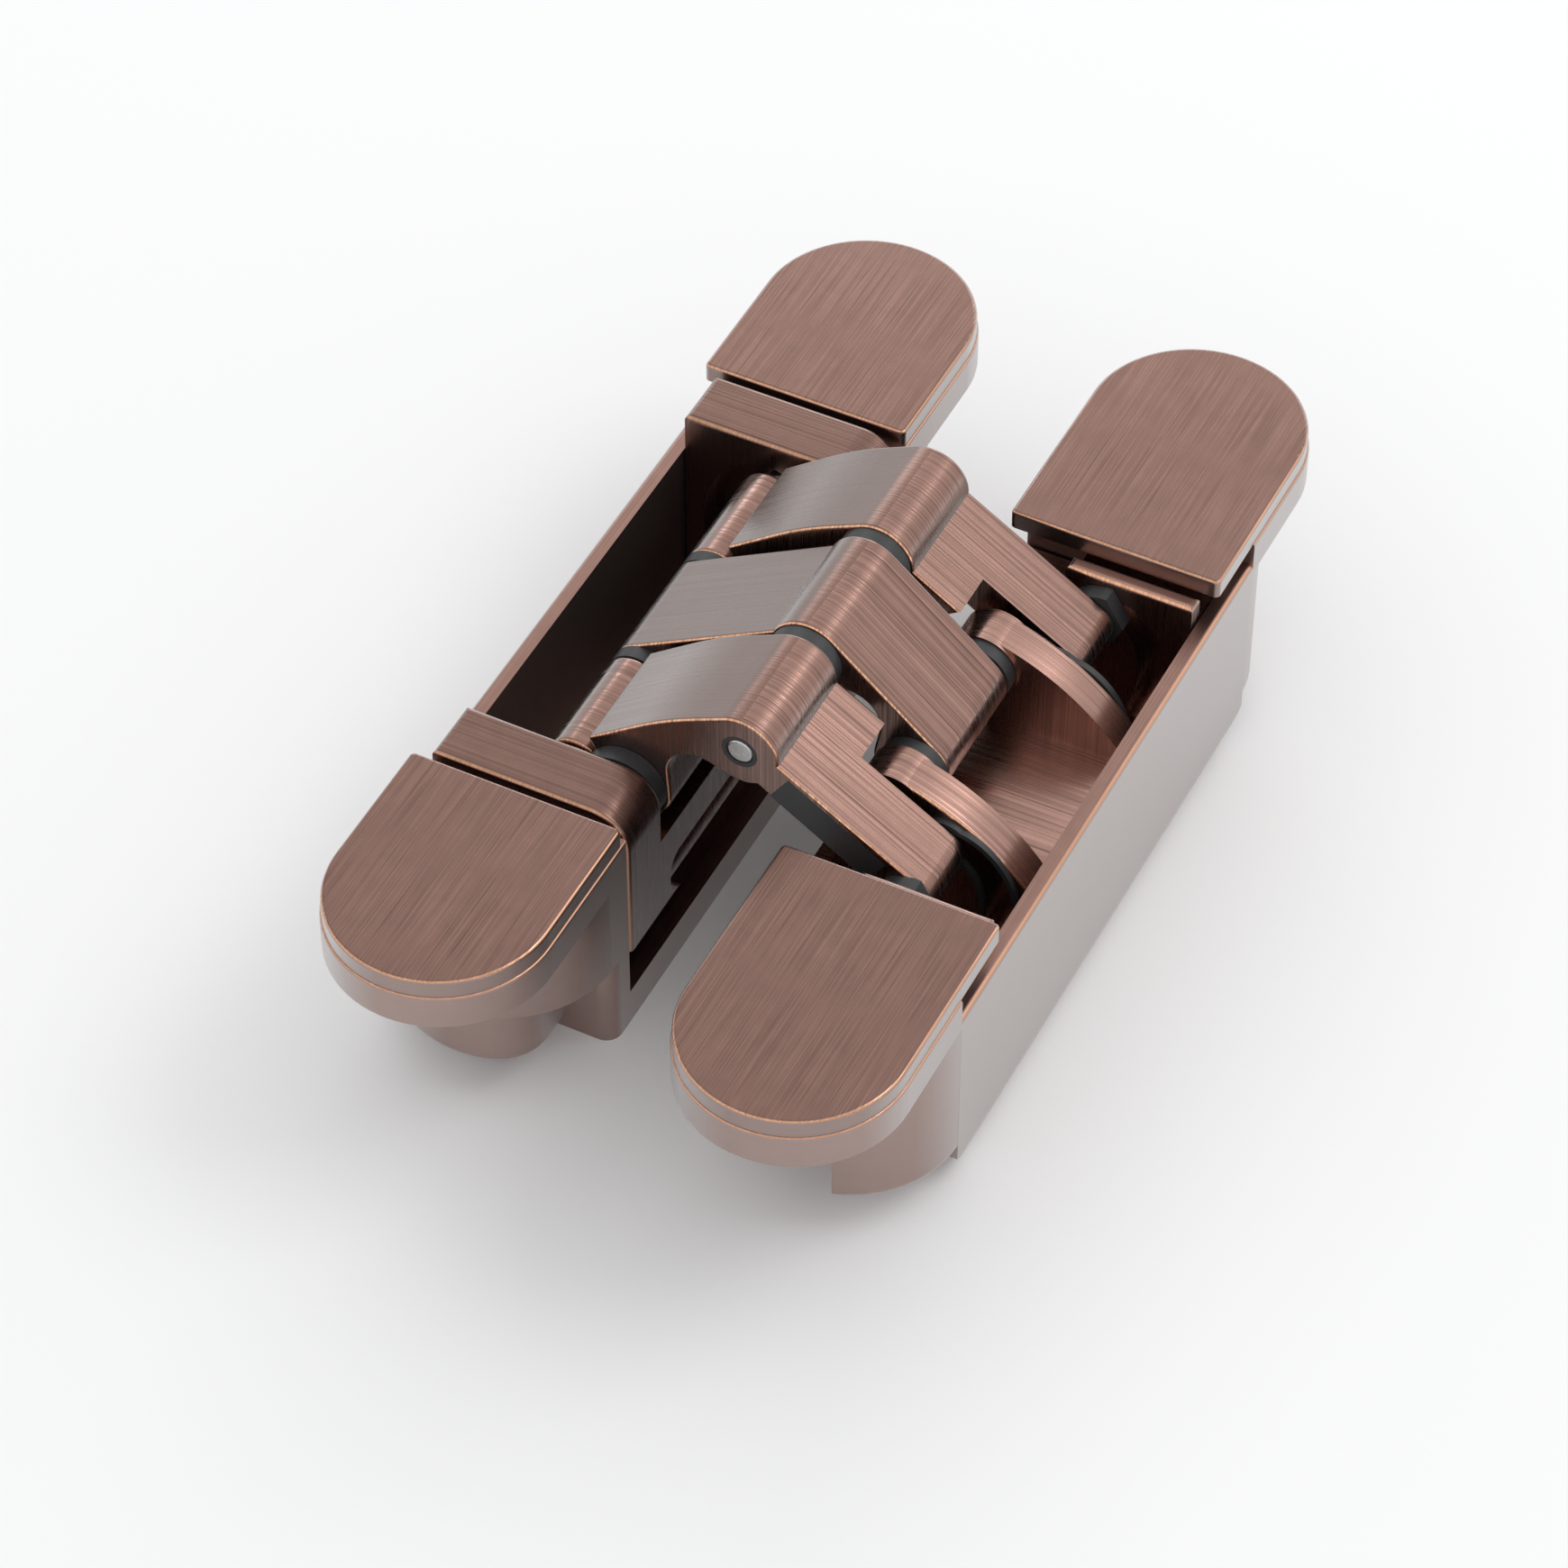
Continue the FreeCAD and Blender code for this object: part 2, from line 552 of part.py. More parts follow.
    round_edges(body, "FlangeEdges", "FlangeEdge", is_flange_edge)
    for end in (-1, 1):
        hole = [(middle, f"{end} * ScrewCentre", "ScrewRadius")]
        depth = "CapThickness + FlangeThickness + CutMargin"
        pocket_down(body, "FixingHole" + end_name(end), hole, TOP, depth)
        seat = [(middle, f"{end} * AdjusterCentre", "AdjusterRadius + RunningClearance")]
        depth = "CapThickness + AdjusterLength + AdjusterPlay"
        pocket_down(body, "AdjusterSeat" + end_name(end), seat, TOP, depth)
        sink = body.newObject("PartDesign::SubtractiveCone", "Countersink" + end_name(end))
        bind(sink, "Radius1", "ScrewRadius")
        bind(sink, "Radius2", "ScrewHeadRadius")
        bind(sink, "Height", "ScrewHeadRadius - ScrewRadius")
        bind(sink, "Placement.Base.x", middle)
        bind(sink, "Placement.Base.y", f"{end} * ScrewCentre")
        bind(sink, "Placement.Base.z", "CasingHeight - CapThickness - ScrewHeadRadius + ScrewRadius")
    return sub_part(body, label)


def round_end_corners(body, side):
    # Upright gap-side corners of the deep part, under the bosses
    corner = [
        ("-CutMargin", "CutMargin"),
        ("EndCorner + CutMargin", "CutMargin"),
        ("EndCorner + CutMargin", "0"),
        ("EndCorner", "-EndCorner", "-EndCorner"),
        ("0", "-EndCorner - CutMargin"),
        ("-CutMargin", "-EndCorner - CutMargin"),
    ]
    depth = "CasingHeight - NoseDrop"
    for end in (-1, 1):
        pocket_down(body, "EndCorner" + end_name(end), at_body_end(corner, side, end), depth, depth)


def at_body_end(points, side, end):
    # Points given from the gap side and from the end of the deep part, outwards
    outline = [
        (f"{side} * ({INNER} + ({point[0]}))", f"{end} * (BodyHalf + ({point[1]}))") + point[2:]
        for point in points
    ]
    return outline if side != end else outline[::-1]


def cap(label, side, end, cap_start):
    body = new_body(label.title().replace("_", ""))
    middle = f"{side} * {AXIS}"
    points = [(middle, f"{end} * EndCentre", "CapWidth / 2")]
    inner = f"{end} * {cap_start}"
    corners = [(f"{middle} + CapWidth / 2", inner), (f"{middle} - CapWidth / 2", inner)]
    points += corners if end < 0 else corners[::-1]
    pad_up(body, "Plate", points, "CasingHeight - CapThickness", "CapThickness")
    inner_place = value(cap_start) + SAME

    def is_corner(edge):
        return is_upright(edge) and abs(edge.BoundBox.YMin) < inner_place

    round_edges(body, "Corners", "CapCorner", is_corner)
    top = value(TOP)
    round_edges(body, "TopEdge", "CapEdge", lambda edge: edge.BoundBox.ZMin > top - SAME)
    return sub_part(body, label)


def adjuster(label, side, end):
    body = new_body(label.title().replace("_", ""))
    middle = f"{side} * {AXIS}"
    place = f"{end} * AdjusterCentre"
    shank = [(middle, place, "AdjusterRadius")]
    low = "CasingHeight - CapThickness - AdjusterLength"
    pad_up(body, "Shank", shank, low, "AdjusterLength - AdjusterPlay")
    corners = []
    for turn in range(6):
        across = f"{middle} + KeyHalf / cos(30) * cos({60 * turn + 30})"
        along = f"{place} + KeyHalf / cos(30) * sin({60 * turn + 30})"
        corners.append((across, along))
    pocket_down(body, "Socket", corners, TOP, "CapThickness + AdjusterPlay + KeyDepth")
    return sub_part(body, label)


# Frame carrier: two end blocks that hold the outer arms' pivots, on a pan whose front wall has a window
def pan_points(side):
    # Section across the hinge: gap-side wall, shelf, riser and floor, in one sheet
    sheet_t = "CarrierFloor"
    profile = [
        (INNER, "CasingHeight - ShelfDrop"),
        (f"{INNER} + ShelfInset", "CasingHeight - ShelfDrop"),
        (f"{INNER} + ShelfInset", "CasingHeight - CarrierDepth"),
        (CARRIER_OUT, "CasingHeight - CarrierDepth"),
        (CARRIER_OUT, f"CasingHeight - CarrierDepth + {sheet_t}"),
        (f"{INNER} + ShelfInset + {sheet_t}", f"CasingHeight - CarrierDepth + {sheet_t}"),
        (f"{INNER} + ShelfInset + {sheet_t}", f"CasingHeight - ShelfDrop + {sheet_t}"),
        (f"{INNER} + WallThickness", f"CasingHeight - ShelfDrop + {sheet_t}"),
        (f"{INNER} + WallThickness", "CasingHeight - SillDrop"),
        (INNER, "CasingHeight - SillDrop"),
    ]
    return mirrored(profile, side)


def pan(body, side):
    # The shelf's front edge is rolled up, and shows in a round-cornered window of the gap-side wall
    pad_along(body, "Pan", pan_points(side), "-BlockStart", "2 * BlockStart")
    low, high = "CasingHeight - WindowDrop - WindowHeight", "CasingHeight - WindowDrop"
    window = rounded_box("-WindowHalf", "WindowHalf", low, high, "WindowCorner")
    start = f"{INNER} + WallThickness + CutMargin" if side > 0 else f"CutMargin - {INNER}"
    pocket_across(body, "Window", window, start, "WallThickness + 2 * CutMargin")
    roll_x = f"{side} * ({INNER} + RollInset + RollRadius)"
    roll = [(roll_x, "CasingHeight - ShelfDrop + RollRadius", "RollRadius")]
    pad_along(body, "Roll", roll, "-BlockStart", "2 * BlockStart")


def mirrored(profile, side):
    if side > 0:
        return profile
    flipped = [(f"-({point[0]})",) + tuple(point[1:]) for point in profile]
    return flipped[::-1]


def frame_carrier():
    body = new_body("FrameCarrierBody")
    pan(body, -1)
    block = [
        (f"{INNER} + BlockRadius", "CasingHeight - BlockRadius", "BlockRadius"),
        (INNER, "CasingHeight - ShelfDrop"),
        (f"{INNER} + ShelfInset", "CasingHeight - ShelfDrop"),
        (f"{INNER} + ShelfInset", "CasingHeight - CarrierDepth"),
        (CARRIER_OUT, "CasingHeight - CarrierDepth"),
        (CARRIER_OUT, TOP),
    ]
    block = mirrored(block, -1)
    for end in (-1, 1):
        start = sided(end, "BlockStart", f"BlockStart + {BLOCK_LENGTH}")[0]
        pad_along(body, "Block" + end_name(end), block, start, BLOCK_LENGTH)
    top = value(TOP)
    round_edges(body, "TopEdges", "BlockEdge", lambda edge: edge.BoundBox.ZMin > top - SAME)
    bore = [(FRAME_PIVOT_X, PIVOT_Z, "PinRadius")]
    for end in (-1, 1):
        start = sided(end, "BlockStart", f"BlockStart + {BLOCK_LENGTH}")[0]
        pocket_along(body, "PivotBore" + end_name(end), bore, start, BLOCK_LENGTH)
    first = value("BlockStart")
    depth = value("SlotDepth")
    cut = doc.addObject("Part::Cut", "FrameCarrier")
    cut.Base = body
    cut.Tool = slots("FrameSlots", FRAME_TRACK, [first, -first - depth])
    return sub_part(cut, "frame_carrier")


# Door carrier: low end blocks, and two curved ribs that hold the centre arm's pivot
def door_carrier():
    body = new_body("DoorCarrierBody")
    pan(body, 1)
    block = [
        (INNER, "CasingHeight - ShelfDrop"),
        (f"{INNER} + ShelfInset", "CasingHeight - ShelfDrop"),
        (f"{INNER} + ShelfInset", "CasingHeight - CarrierDepth"),
        (CARRIER_OUT, "CasingHeight - CarrierDepth"),
        (CARRIER_OUT, "CasingHeight - DoorBlockDrop"),
        (f"{INNER} + DoorBlockInset", "CasingHeight - DoorBlockDrop"),
        (f"{INNER} + DoorBlockInset", "CasingHeight - SillDrop"),
        (INNER, "CasingHeight - SillDrop"),
    ]
    for end in (-1, 1):
        start = sided(end, "BlockStart", f"BlockStart + {BLOCK_LENGTH}")[0]
        pad_along(body, "Block" + end_name(end), block, start, BLOCK_LENGTH)
        behind = sided(end, "BlockStart + LedgeWidth", f"BlockStart + {BLOCK_LENGTH} + CutMargin")
        recess = box_points(f"{INNER} + DoorBlockInset - CutMargin", f"{CARRIER_OUT} + CutMargin", *behind)
        pocket_down(body, "Recess" + end_name(end), recess, TOP, "DoorBlockDrop + LedgeDrop")
    block_top = value("CasingHeight - DoorBlockDrop")
    round_edges(body, "LedgeEdges", "BlockEdge", lambda edge: edge.BoundBox.ZMin > block_top - SAME)
    for end in (-1, 1):
        start = sided(end, f"{ARM_START} + RibStep", RIB_END)[0]
        pad_rib(body, "Rib" + end_name(end), start)
        start = sided(end, ARM_START, RIB_END)[0]
        eye = [(DOOR_PIVOT_X, PIVOT_Z, "RibEye")]
        pad_along(body, "RibEye" + end_name(end), eye, start, "RibThickness")
    rib_face = value(RIB_END)
    rib_middle = value(f"({DOOR_PIVOT_X} + {CARRIER_OUT}) / 2")

    def is_crown(edge):
        box = edge.BoundBox
        on_face = box.YLength < SAME and abs(abs(box.YMin) - rib_face) < SAME
        return on_face and box.XMin < rib_middle < box.XMax and edge.Curve.TypeId == "Part::GeomCircle"

    round_edges(body, "CrownEdges", "RibEdge", is_crown)
    bore = [(DOOR_PIVOT_X, PIVOT_Z, "PinRadius")]
    for end in (-1, 1):
        start = sided(end, ARM_START, RIB_END)[0]
        pocket_along(body, "PivotBore" + end_name(end), bore, start, "RibThickness")
    well_half = f"({ARM_START} + RibStep)"
    well = box_points(f"{INNER} + WellInset", CARRIER_OUT, f"-{well_half}", well_half)
    pad_up(body, "Well", well, "CasingHeight - WellDrop - WellThickness", "WellThickness")
    depth = value("SlotDepth")
    block_at = value("BlockStart")
    rib_at = value(RIB_END)
    cut = doc.addObject("Part::Cut", "DoorCarrier")
    cut.Base = body
    cut.Tool = slots("DoorSlots", DOOR_TRACK, [block_at, -block_at - depth, rib_at - depth, -rib_at])
    return sub_part(cut, "door_carrier")


def pad_rib(body, name, start):
    # From the top of the rib's eye the crown falls in one arc to the outer wall
    corners = [
        (DOOR_PIVOT_X, f"{PIVOT_Z} + RibEye"),
        (DOOR_PIVOT_X, f"{PIVOT_Z} - RibEye"),
        (f"{INNER} + ShelfInset", "CasingHeight - ShelfDrop"),
        (f"{INNER} + ShelfInset", "CasingHeight - CarrierDepth"),
        (CARRIER_OUT, "CasingHeight - CarrierDepth"),
        (CARRIER_OUT, "CasingHeight - RibEndDrop"),
    ]
    sketch = empty_sketch(body, name, "XZ_Plane", f"-({start})")
    places = [FreeCAD.Vector(value(x), value(z), 0) for x, z in corners]
    for i in range(len(places) - 1):
        sketch.addGeometry(Part.LineSegment(places[i], places[i + 1]), False)
        fix_point(sketch, i, 1, corners[i])
        if i > 0:
            sketch.addConstraint(Sketcher.Constraint("Coincident", i - 1, 2, i, 1))
    last = len(places) - 2
    fix_point(sketch, last, 2, corners[-1])
    high, low = places[0], places[-1]
    radius = value("RibCrown")
    chord = high - low
    inward = FreeCAD.Vector(chord.y, -chord.x, 0).normalize()
    if inward.y > 0:
        inward = inward * -1
    middle = (high + low) * 0.5
    centre = middle + inward * math.sqrt(radius**2 - (chord.Length / 2) ** 2)
    start_angle = math.atan2(low.y - centre.y, low.x - centre.x)
    end_angle = math.atan2(high.y - centre.y, high.x - centre.x)
    circle = Part.Circle(centre, FreeCAD.Vector(0, 0, 1), radius)
    crown = sketch.addGeometry(Part.ArcOfCircle(circle, start_angle, end_angle), False)
    sketch.addConstraint(Sketcher.Constraint("Coincident", last, 2, crown, 1))
    sketch.addConstraint(Sketcher.Constraint("Coincident", crown, 2, 0, 1))
    size = sketch.addConstraint(Sketcher.Constraint("Radius", crown, radius))
    bind(sketch, f"Constraints[{size}]", "RibCrown")
    pad = body.newObject("PartDesign::Pad", name)
    pad.Profile = sketch
    pad.Reversed = True
    bind(pad, "Length", "RibThickness - RibStep")
    return pad


# Outer arm: a roof plate from the frame's pivot to the knuckle, and a leg that slides in the door's slots
LEG_ANGLE = "atan2(-CentreRise - DoorSlideDrop; DoorSlideOut - CentreOut)"


def outer_arm(end):
    name = end_name(end)
    body = new_body("ArmA" + name)
    start = sided(end, ARM_START, ARM_END)[0]
    length = ARM_LENGTH
    plate = [
        (CENTRE_X, CENTRE_Z, "KnuckleRadius"),
        (
            f"{CENTRE_X} - CrownOut + CrownRadius * sin(CrownAngle)",
            f"{CENTRE_Z} + CrownRise - CrownRadius * cos(CrownAngle)",
            "CrownRadius",
        ),
        (f"{FRAME_PIVOT_X} - LipOut", f"{PIVOT_Z} + LipRise", "LipRadius"),
        (f"{FRAME_PIVOT_X} + HeelOffset", f"{PIVOT_Z} - HeelDrop", "HeelRadius"),
        (f"{CENTRE_X} - ArchOut", f"{CENTRE_Z} - ArchDrop", "-ArchRadius"),
    ]
    pad_along(body, "Roof", plate, start, length)
    leg = [(CENTRE_X, CENTRE_Z, "LegRoot"), (DOOR_SLIDE_X, DOOR_SLIDE_Z, "LegEnd")]
    pad_along(body, "Leg", leg, start, length)
    notch = along_leg([
        ("TabLength - TabSlant", "-3 * LegRoot"),
        ("TabLength + DoorSlideOut", "-3 * LegRoot"),
        ("TabLength + DoorSlideOut", "3 * LegRoot"),
        ("TabLength + TabSlant", "3 * LegRoot"),
    ])
    low = sided(end, ARM_START, LEG_START)[0]
    pocket_along(body, "Notch", notch, low, f"{LEG_START} - {ARM_START}")
    round_outline(body, "Edges", "ArmEdge", ARM_START, ARM_END)
    strip_at = sided(end, f"{ARM_END} - StripDepth", ARM_END)[0]
    strip = strip_points()
    pocket_along(body, "StripSeat", strip, strip_at, "StripDepth")
    pocket_along(body, "CentreBore", [(CENTRE_X, CENTRE_Z, "BushRadius")], start, length)
    bore = "PinRadius + RunningClearance"
    pocket_along(body, "PivotBore", [(FRAME_PIVOT_X, PIVOT_Z, bore)], start, length)
    pocket_along(body, "SlideBore", [(DOOR_SLIDE_X, DOOR_SLIDE_Z, "PinRadius")], start, length)
    sub_part(body, "arm_a_" + name)
    facing = new_body("LegStrip" + name)
    pad_along(facing, "Facing", strip, strip_at, "StripDepth")
    sub_part(facing, "leg_strip_" + name)


def strip_points():
    # A square-ended strip along the leg, flush with the leg's underside at the knuckle
    return along_leg([
        ("StripStart", "-LegRoot"),
        ("StripStart + StripLength", "-LegRoot"),
        ("StripStart + StripLength", "StripHeight - LegRoot"),
        ("StripStart", "StripHeight - LegRoot"),
    ])


def along_leg(corners):
    # Corners given along the leg from the centre pin, and across it
    cosine, sine = f"cos({LEG_ANGLE})", f"sin({LEG_ANGLE})"
    return [
        (
            f"{CENTRE_X} + ({u}) * {cosine} - ({w}) * {sine}",
            f"{CENTRE_Z} + ({u}) * {sine} + ({w}) * {cosine}",
        )
        for u, w in corners
    ]


def centre_arm():
    body = new_body("ArmB")
    start, length = "-CentreArmHalf", "2 * CentreArmHalf"
    plate = [
        (CENTRE_X, CENTRE_Z, "KnuckleRadius"),
        (f"{CENTRE_X} + ArchOut", f"{CENTRE_Z} - ArchDrop", "-ArchRadius"),
        (f"{DOOR_PIVOT_X} - HeelOffset", f"{PIVOT_Z} - HeelDrop", "HeelRadius"),
        (DOOR_PIVOT_X, PIVOT_Z, "DoorEyeRadius"),
    ]
    pad_along(body, "Roof", plate, start, length)
    leg = [(FRAME_SLIDE_X, FRAME_SLIDE_Z, "SleeveRadius"), (CENTRE_X, CENTRE_Z, "CentreLegRoot")]
    pad_along(body, "Leg", leg, start, length)
    round_outline(body, "Edges", "ArmEdge", "CentreArmHalf", "CentreArmHalf")
    pocket_along(body, "CentreBore", [(CENTRE_X, CENTRE_Z, "PinRadius + RunningClearance")], start, length)
    pocket_along(body, "PivotBore", [(DOOR_PIVOT_X, PIVOT_Z, "PinRadius + RunningClearance")], start, length)
    pocket_along(body, "SlideBore", [(FRAME_SLIDE_X, FRAME_SLIDE_Z, "PinRadius")], start, length)
    return sub_part(body, "arm_b")


# Plastic liner round the slot on a rib's outer side, with a round end where the slide pin rests
def rib_liner(end):
    thickness = value("LinerThickness")
    start = value(RIB_END)
    start = start if end > 0 else -start - thickness
    slot_half = value("PinRadius + SlotClearance")
    band = track_solid(DOOR_TRACK, slot_half + value("LinerMargin"), start, thickness)
    rest = FreeCAD.Vector(value(DOOR_SLIDE_X), start, value(DOOR_SLIDE_Z))
    nose = Part.makeCylinder(value("ShoeRadius"), thickness, rest, FreeCAD.Vector(0, 1, 0))
    feature = doc.addObject("Part::Feature", "RibLiner" + end_name(end))
    feature.Shape = band.fuse(nose).cut(track_solid(DOOR_TRACK, slot_half, start, thickness))
    return sub_part(feature, "rib_liner_" + end_name(end))


# Plastic shoe on a slide pin, round towards the knuckle and faceted towards the outer wall
def leg_shoe(end):
    body = new_body("LegShoe" + end_name(end))
    facets = [(0.4, -0.9), (0.63, -0.78), (1.0, -0.06), (0.41, 0.98), (0.2, 0.99)]
    outline = [(f"{DOOR_SLIDE_X} + {u} * ShoeReach", f"{DOOR_SLIDE_Z} + {w} * ShoeReach") for u, w in facets]
    outline.append((DOOR_SLIDE_X, DOOR_SLIDE_Z, "ShoeRadius"))
    length = "PivotWasherThickness"
    start = sided(end, ARM_END, f"{ARM_END} + {length}")[0]
    pad_along(body, "Shoe", outline, start, length)
    pocket_along(body, "Bore", [(DOOR_SLIDE_X, DOOR_SLIDE_Z, "PinRadius")], start, length)
    return sub_part(body, "leg_shoe_" + end_name(end))


casing("frame_casing", -1, "FrameBossInset", "FrameBossCorner")
casing("door_casing", 1, "DoorBossInset", None)
frame_carrier()
door_carrier()
centre_arm()
for end in (-1, 1):
    name = end_name(end)
    cap("frame_cap_" + name, -1, end, FRAME_CAP_START)
    cap("door_cap_" + name, 1, end, DOOR_CAP_START)
    adjuster("frame_adjuster_" + name, -1, end)
    adjuster("door_adjuster_" + name, 1, end)
    outer_arm(end)
    rib_liner(end)
    leg_shoe(end)
    pin_length = f"({ARM_LENGTH} + PivotWasherThickness + RunningClearance + {BLOCK_LENGTH})"
    start = sided(end, ARM_START, f"{ARM_START} + {pin_length}")[0]
    pin = rod("FramePin" + name, "PinRadius", FRAME_PIVOT_X, PIVOT_Z, start, pin_length)
    sub_part(pin, "frame_pin_" + name)
    start = sided(end, f"{ARM_END} + RunningClearance", "BlockStart")[0]
    washer = ring(
        "FrameWasher" + name, "PivotWasherRadius", "PinRadius", FRAME_PIVOT_X, PIVOT_Z,
        start, "PivotWasherThickness",
    )
    sub_part(washer, "frame_washer_" + name)
    start = sided(end, "CentreArmHalf + RunningClearance", ARM_START)[0]
    washer = ring(
        "CentreWasher" + name, "CentreWasherRadius", "PinRadius", CENTRE_X, CENTRE_Z, start, "WasherThickness"
    )
    sub_part(washer, "centre_washer_" + name)
    washer = ring(
        "DoorWasher" + name, "DoorWasherRadius", "PinRadius", DOOR_PIVOT_X, PIVOT_Z, start, "WasherThickness"
    )
    sub_part(washer, "door_washer_" + name)
    start = sided(end, ARM_START, ARM_END)[0]
    bush = ring("Bush" + name, "BushRadius", "PinRadius", CENTRE_X, CENTRE_Z, start, ARM_LENGTH)
    sub_part(bush, "centre_bush_" + name)
    sleeve = barrel(
        "Sleeve" + name, "SleeveRadius", "SleeveEdge", FRAME_SLIDE_X, FRAME_SLIDE_Z, start, ARM_LENGTH
    )
    pocket_along(sleeve, "Bore", [(FRAME_SLIDE_X, FRAME_SLIDE_Z, "PinRadius")], start, ARM_LENGTH)
    sub_part(sleeve, "slide_sleeve_" + name)
    start = sided(end, "CentreArmHalf", ARM_START)[0]
    washer = ring(
        "SlideWasher" + name, "SleeveRadius", "PinRadius", FRAME_SLIDE_X, FRAME_SLIDE_Z,
        start, "RunningClearance + WasherThickness",
    )
    sub_part(washer, "slide_washer_" + name)
    low, high = f"{RIB_END} - SlotDepth + SlotClearance", "BlockStart + SlotDepth - SlotClearance"
    start = sided(end, low, high)[0]
    pin = rod("LegPin" + name, "PinRadius", DOOR_SLIDE_X, DOOR_SLIDE_Z, start, f"{high} - ({low})")
    sub_part(pin, "leg_pin_" + name)

centre_pin = barrel("CentrePin", "PinRadius", "PinEdge", CENTRE_X, CENTRE_Z, f"-{ARM_END}", f"2 * {ARM_END}")
sub_part(centre_pin, "centre_pin")
reach = "BlockStart + SlotDepth - SlotClearance"
slide_pin = rod("SlidePin", "PinRadius", FRAME_SLIDE_X, FRAME_SLIDE_Z, f"-({reach})", f"2 * ({reach})")
sub_part(slide_pin, "slide_pin")
reach = f"{RIB_END} - SlotDepth - PinWall"
door_pin = rod("DoorPin", "PinRadius", DOOR_PIVOT_X, PIVOT_Z, f"-({reach})", f"2 * ({reach})")
sub_part(door_pin, "door_pin")

doc.recompute()
for item in doc.Objects:
    if "Invalid" in item.State or "Error" in item.State:
        raise RuntimeError(f"{item.Name} failed: {item.State}")
for item in sub_parts:
    if item.Shape.isNull() or not item.Shape.isValid():
        raise RuntimeError(f"{item.Label} has no valid shape")
os.makedirs("parts", exist_ok=True)
for item in sub_parts:
    item.Shape.exportStep(f"parts/{item.Label}.step")
    print(item.Label, round(item.Shape.Volume, 1), len(item.Shape.Solids))
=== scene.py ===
import bmesh
import bpy
import math
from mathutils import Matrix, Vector


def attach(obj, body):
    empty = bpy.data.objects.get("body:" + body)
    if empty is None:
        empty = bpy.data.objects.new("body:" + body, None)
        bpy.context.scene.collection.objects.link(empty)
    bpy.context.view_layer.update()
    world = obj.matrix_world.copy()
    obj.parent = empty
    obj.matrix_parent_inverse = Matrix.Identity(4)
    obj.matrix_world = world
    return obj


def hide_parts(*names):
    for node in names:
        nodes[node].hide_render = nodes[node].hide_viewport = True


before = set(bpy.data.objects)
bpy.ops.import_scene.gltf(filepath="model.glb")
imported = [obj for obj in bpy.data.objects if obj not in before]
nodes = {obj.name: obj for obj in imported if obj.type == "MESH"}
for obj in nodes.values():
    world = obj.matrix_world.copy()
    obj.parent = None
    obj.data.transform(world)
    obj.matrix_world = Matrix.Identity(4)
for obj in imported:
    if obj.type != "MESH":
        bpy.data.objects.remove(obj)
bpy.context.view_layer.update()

ends = ("near", "far")


def addSocket(group, name, way, kind):
    group.interface.new_socket(name=name, in_out=way, socket_type=kind)


def place(tree, kind, x, y, **settings):
    node = tree.nodes.new(kind)
    node.location = (x, y)
    for name, value in settings.items():
        setattr(node, name, value)
    return node


def maths(tree, operation, x, y, *values):
    node = place(tree, "ShaderNodeMath", x, y, operation=operation)
    for socket, value in zip(node.inputs, values):
        if isinstance(value, (int, float)):
            socket.default_value = value
        else:
            tree.links.new(value, socket)
    return node.outputs[0]


def mixColours(tree, x, y, factor, first, second):
    node = place(tree, "ShaderNodeMix", x, y, data_type="RGBA")
    tree.links.new(factor, node.inputs[0])
    for socket, colour in ((node.inputs[6], first), (node.inputs[7], second)):
        if isinstance(colour, tuple):
            socket.default_value = (*colour, 1)
        else:
            tree.links.new(colour, socket)
    return node.outputs[2]


# Fine parallel streaks over a wider drift, from coordinates that are already stretched along the brush
streakLook = {
    "fineDetail": 2.0, "fineRoughness": 0.55,
    "driftScale": 0.31, "driftDetail": 1.0, "driftShare": 0.1,
    "middle": 0.55, "steepness": 3.0,
}


def makeStreaks():
    group = bpy.data.node_groups.new("brushedStreaks", "ShaderNodeTree")
    addSocket(group, "Stretched", "INPUT", "NodeSocketVector")
    addSocket(group, "Contrast", "INPUT", "NodeSocketFloat")
    addSocket(group, "Tone", "OUTPUT", "NodeSocketFloat")
    addSocket(group, "Height", "OUTPUT", "NodeSocketFloat")
    inside = place(group, "NodeGroupInput", -900, 0)
    outside = place(group, "NodeGroupOutput", 700, 0)
    fine = place(group, "ShaderNodeTexNoise", -600, 200)
    fine.inputs["Scale"].default_value = 1.0
    fine.inputs["Detail"].default_value = streakLook["fineDetail"]
    fine.inputs["Roughness"].default_value = streakLook["fineRoughness"]
    group.links.new(inside.outputs["Stretched"], fine.inputs["Vector"])
    drift = place(group, "ShaderNodeTexNoise", -600, -150)
    drift.inputs["Scale"].default_value = streakLook["driftScale"]
    drift.inputs["Detail"].default_value = streakLook["driftDetail"]
    group.links.new(inside.outputs["Stretched"], drift.inputs["Vector"])
    softened = maths(group, "MULTIPLY", -400, -150, drift.outputs["Fac"], streakLook["driftShare"])
    both = maths(group, "ADD", -250, 50, fine.outputs["Fac"], softened)
    centred = maths(group, "SUBTRACT", -100, 50, both, streakLook["middle"])
    steep = maths(group, "MULTIPLY", 50, 50, centred, streakLook["steepness"])
    swing = maths(group, "MULTIPLY", 200, 50, steep, inside.outputs["Contrast"])
    tone = maths(group, "ADD", 350, 50, swing, 1.0)
    group.links.new(tone, outside.inputs["Tone"])
    group.links.new(fine.outputs["Fac"], outside.inputs["Height"])
    return group


# Face is one where a surface looks along the axis. Edge is strongest half way round from a face to a side.
edgeLook = {"faceFrom": 0.2, "steepness": 8.0, "offset": -0.9}


